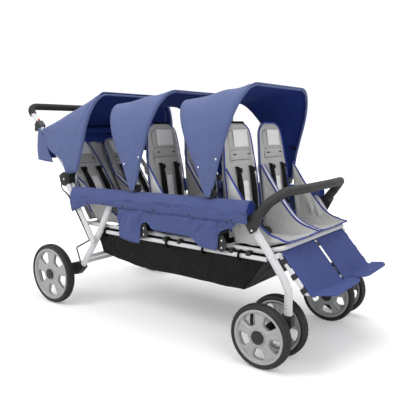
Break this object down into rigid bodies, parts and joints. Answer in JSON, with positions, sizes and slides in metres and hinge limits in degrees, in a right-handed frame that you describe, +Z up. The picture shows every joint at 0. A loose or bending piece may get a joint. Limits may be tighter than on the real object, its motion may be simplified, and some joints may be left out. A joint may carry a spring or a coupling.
{
  "type": "six-seat stroller",
  "caption": "Long tandem stroller with three rows of paired reclining seats, folding canopies, U-shaped push handle, under-seat basket, footrest and swivelling front castors",
  "frame": {"origin": "on the ground under the middle of the bounding box", "axes": "+X is the stroller's front, +Y its left side as the person pushing sees it, +Z up"},
  "size_m": [1.8183, 0.805, 1.0858],
  "materials": {
    "frame_white": "silvery white painted aluminium tube",
    "black_plastic": "moulded black plastic",
    "grip_foam": "dull black foam",
    "blue_cloth": "woven polyester, blue",
    "grey_cloth": "padded polyester, light grey",
    "black_cloth": "thin black woven nylon",
    "rim_plastic": "moulded light grey plastic",
    "tyre_rubber": "black treaded rubber"
  },
  "bodies": {
    "chassis": {"basket": "black_cloth", "bumper_bar": "grip_foam", "fold_hinge_left": "black_plastic", "fold_hinge_right": "black_plastic", "front_canopy_clip_left": "black_plastic", "front_canopy_clip_right": "black_plastic", "front_canopy_cloth": "blue_cloth", "front_leg_left": "frame_white", "front_leg_right": "frame_white", "lower_rail_left": "frame_white", "lower_rail_right": "frame_white", "middle_canopy_clip_left": "black_plastic", "middle_canopy_clip_right": "black_plastic", "middle_canopy_cloth": "blue_cloth", "rear_leg_frame": "frame_white", "rear_strut_left": "frame_white", "rear_strut_right": "frame_white", "rear_wheel_mount_left": "black_plastic", "rear_wheel_mount_right": "black_plastic", "seat_frame": "frame_white", "seat_sling_row_1": "grey_cloth", "seat_sling_row_2": "grey_cloth", "seat_sling_row_3": "grey_cloth", "side_panel_left": "blue_cloth", "side_panel_right": "blue_cloth", "upper_rail_left": "frame_white", "upper_rail_right": "frame_white"},
    "handle": {"handle_tube": "frame_white", "handle_grip": "grip_foam", "rear_canopy_cloth": "blue_cloth"},
    "release_left": {"release_slider_left": "black_plastic"},
    "release_right": {"release_slider_right": "black_plastic"},
    "front_bow": {"front_canopy_bow": "black_plastic"},
    "middle_bow": {"middle_canopy_bow": "black_plastic"},
    "rear_bow": {"rear_canopy_bow": "black_plastic"},
    "back_1_left": {"backrest_row_1_left": "grey_cloth"},
    "back_1_right": {"backrest_row_1_right": "grey_cloth"},
    "back_2_left": {"backrest_row_2_left": "grey_cloth"},
    "back_2_right": {"backrest_row_2_right": "grey_cloth"},
    "back_3_left": {"backrest_row_3_left": "grey_cloth"},
    "back_3_right": {"backrest_row_3_right": "grey_cloth"},
    "castor_left": {"castor_fork_left": "black_plastic"},
    "front_wheel_left_inner": {"front_left_inner_rim": "rim_plastic", "front_left_inner_tyre": "tyre_rubber"},
    "front_wheel_left_outer": {"front_left_outer_rim": "rim_plastic", "front_left_outer_tyre": "tyre_rubber"},
    "rear_wheel_left": {"rear_left_rim": "rim_plastic", "rear_left_tyre": "tyre_rubber"},
    "castor_right": {"castor_fork_right": "black_plastic"},
    "front_wheel_right_inner": {"front_right_inner_rim": "rim_plastic", "front_right_inner_tyre": "tyre_rubber"},
    "front_wheel_right_outer": {"front_right_outer_rim": "rim_plastic", "front_right_outer_tyre": "tyre_rubber"},
    "rear_wheel_right": {"rear_right_rim": "rim_plastic", "rear_right_tyre": "tyre_rubber"},
    "brake": {"brake_bar": "frame_white"},
    "footrest": {"footrest_frame": "frame_white", "footrest_pad_left": "blue_cloth", "footrest_pad_right": "blue_cloth"}
  },
  "joints": [
    {"name": "handle_fold", "type": "hinge", "parent": "chassis", "child": "handle", "pos_m": [-0.536, 0, 0.652], "axis": [0, 1, 0], "range_deg": [-95, 0]},
    {"name": "release_left_slide", "type": "slide", "parent": "handle", "child": "release_left", "axis": [-0.6884, 0, 0.7254], "range_m": [0, 0.015], "stiffness_N_per_m": 400},
    {"name": "release_right_slide", "type": "slide", "parent": "handle", "child": "release_right", "axis": [-0.6884, 0, 0.7254], "range_m": [0, 0.015], "stiffness_N_per_m": 400},
    {"name": "front_canopy_fold", "type": "hinge", "parent": "chassis", "child": "front_bow", "pos_m": [0.385, 0, 0.6459], "axis": [0, 1, 0], "range_deg": [-38, 0], "deforming": ["front_canopy_cloth"]},
    {"name": "middle_canopy_fold", "type": "hinge", "parent": "chassis", "child": "middle_bow", "pos_m": [-0.041, 0, 0.64018], "axis": [0, 1, 0], "range_deg": [-34, 0], "deforming": ["middle_canopy_cloth"]},
    {"name": "rear_canopy_fold", "type": "hinge", "parent": "handle", "child": "rear_bow", "pos_m": [-0.504, 0, 0.69], "axis": [0, 1, 0], "range_deg": [-28, 0], "deforming": ["rear_canopy_cloth"]},
    {"name": "recline_1_left", "type": "hinge", "parent": "chassis", "child": "back_1_left", "pos_m": [0.447, 0, 0.43], "axis": [0, 1, 0], "range_deg": [-26, 0]},
    {"name": "recline_1_right", "type": "hinge", "parent": "chassis", "child": "back_1_right", "pos_m": [0.447, 0, 0.43], "axis": [0, 1, 0], "range_deg": [-26, 0]},
    {"name": "recline_2_left", "type": "hinge", "parent": "chassis", "child": "back_2_left", "pos_m": [0.017, 0, 0.43], "axis": [0, 1, 0], "range_deg": [-26, 0]},
    {"name": "recline_2_right", "type": "hinge", "parent": "chassis", "child": "back_2_right", "pos_m": [0.017, 0, 0.43], "axis": [0, 1, 0], "range_deg": [-26, 0]},
    {"name": "recline_3_left", "type": "hinge", "parent": "chassis", "child": "back_3_left", "pos_m": [-0.413, 0, 0.43], "axis": [0, 1, 0], "range_deg": [0, 26]},
    {"name": "recline_3_right", "type": "hinge", "parent": "chassis", "child": "back_3_right", "pos_m": [-0.413, 0, 0.43], "axis": [0, 1, 0], "range_deg": [0, 26]},
    {"name": "castor_swivel_left", "type": "hinge", "parent": "chassis", "child": "castor_left", "pos_m": [0.738, 0.3085, 0.207], "axis": [0, 0, 1], "continuous": true},
    {"name": "front_spin_left_inner", "type": "hinge", "parent": "castor_left", "child": "front_wheel_left_inner", "pos_m": [0.659, 0, 0.127], "axis": [0, 1, 0], "continuous": true},
    {"name": "front_spin_left_outer", "type": "hinge", "parent": "castor_left", "child": "front_wheel_left_outer", "pos_m": [0.659, 0, 0.127], "axis": [0, 1, 0], "continuous": true},
    {"name": "castor_swivel_right", "type": "hinge", "parent": "chassis", "child": "castor_right", "pos_m": [0.738, -0.3085, 0.207], "axis": [0, 0, 1], "continuous": true},
    {"name": "front_spin_right_inner", "type": "hinge", "parent": "castor_right", "child": "front_wheel_right_inner", "pos_m": [0.659, 0, 0.127], "axis": [0, 1, 0], "continuous": true},
    {"name": "front_spin_right_outer", "type": "hinge", "parent": "castor_right", "child": "front_wheel_right_outer", "pos_m": [0.659, 0, 0.127], "axis": [0, 1, 0], "continuous": true},
    {"name": "rear_spin_left", "type": "hinge", "parent": "chassis", "child": "rear_wheel_left", "pos_m": [-0.61, 0, 0.155], "axis": [0, 1, 0], "continuous": true},
    {"name": "rear_spin_right", "type": "hinge", "parent": "chassis", "child": "rear_wheel_right", "pos_m": [-0.61, 0, 0.155], "axis": [0, 1, 0], "continuous": true},
    {"name": "brake_press", "type": "hinge", "parent": "chassis", "child": "brake", "pos_m": [-0.503, 0, 0.198], "axis": [0, 1, 0], "range_deg": [-15, 0]},
    {"name": "footrest_fold", "type": "hinge", "parent": "chassis", "child": "footrest", "pos_m": [0.69, 0, 0.43], "axis": [0, 1, 0], "range_deg": [-50, 0]}
  ]
}
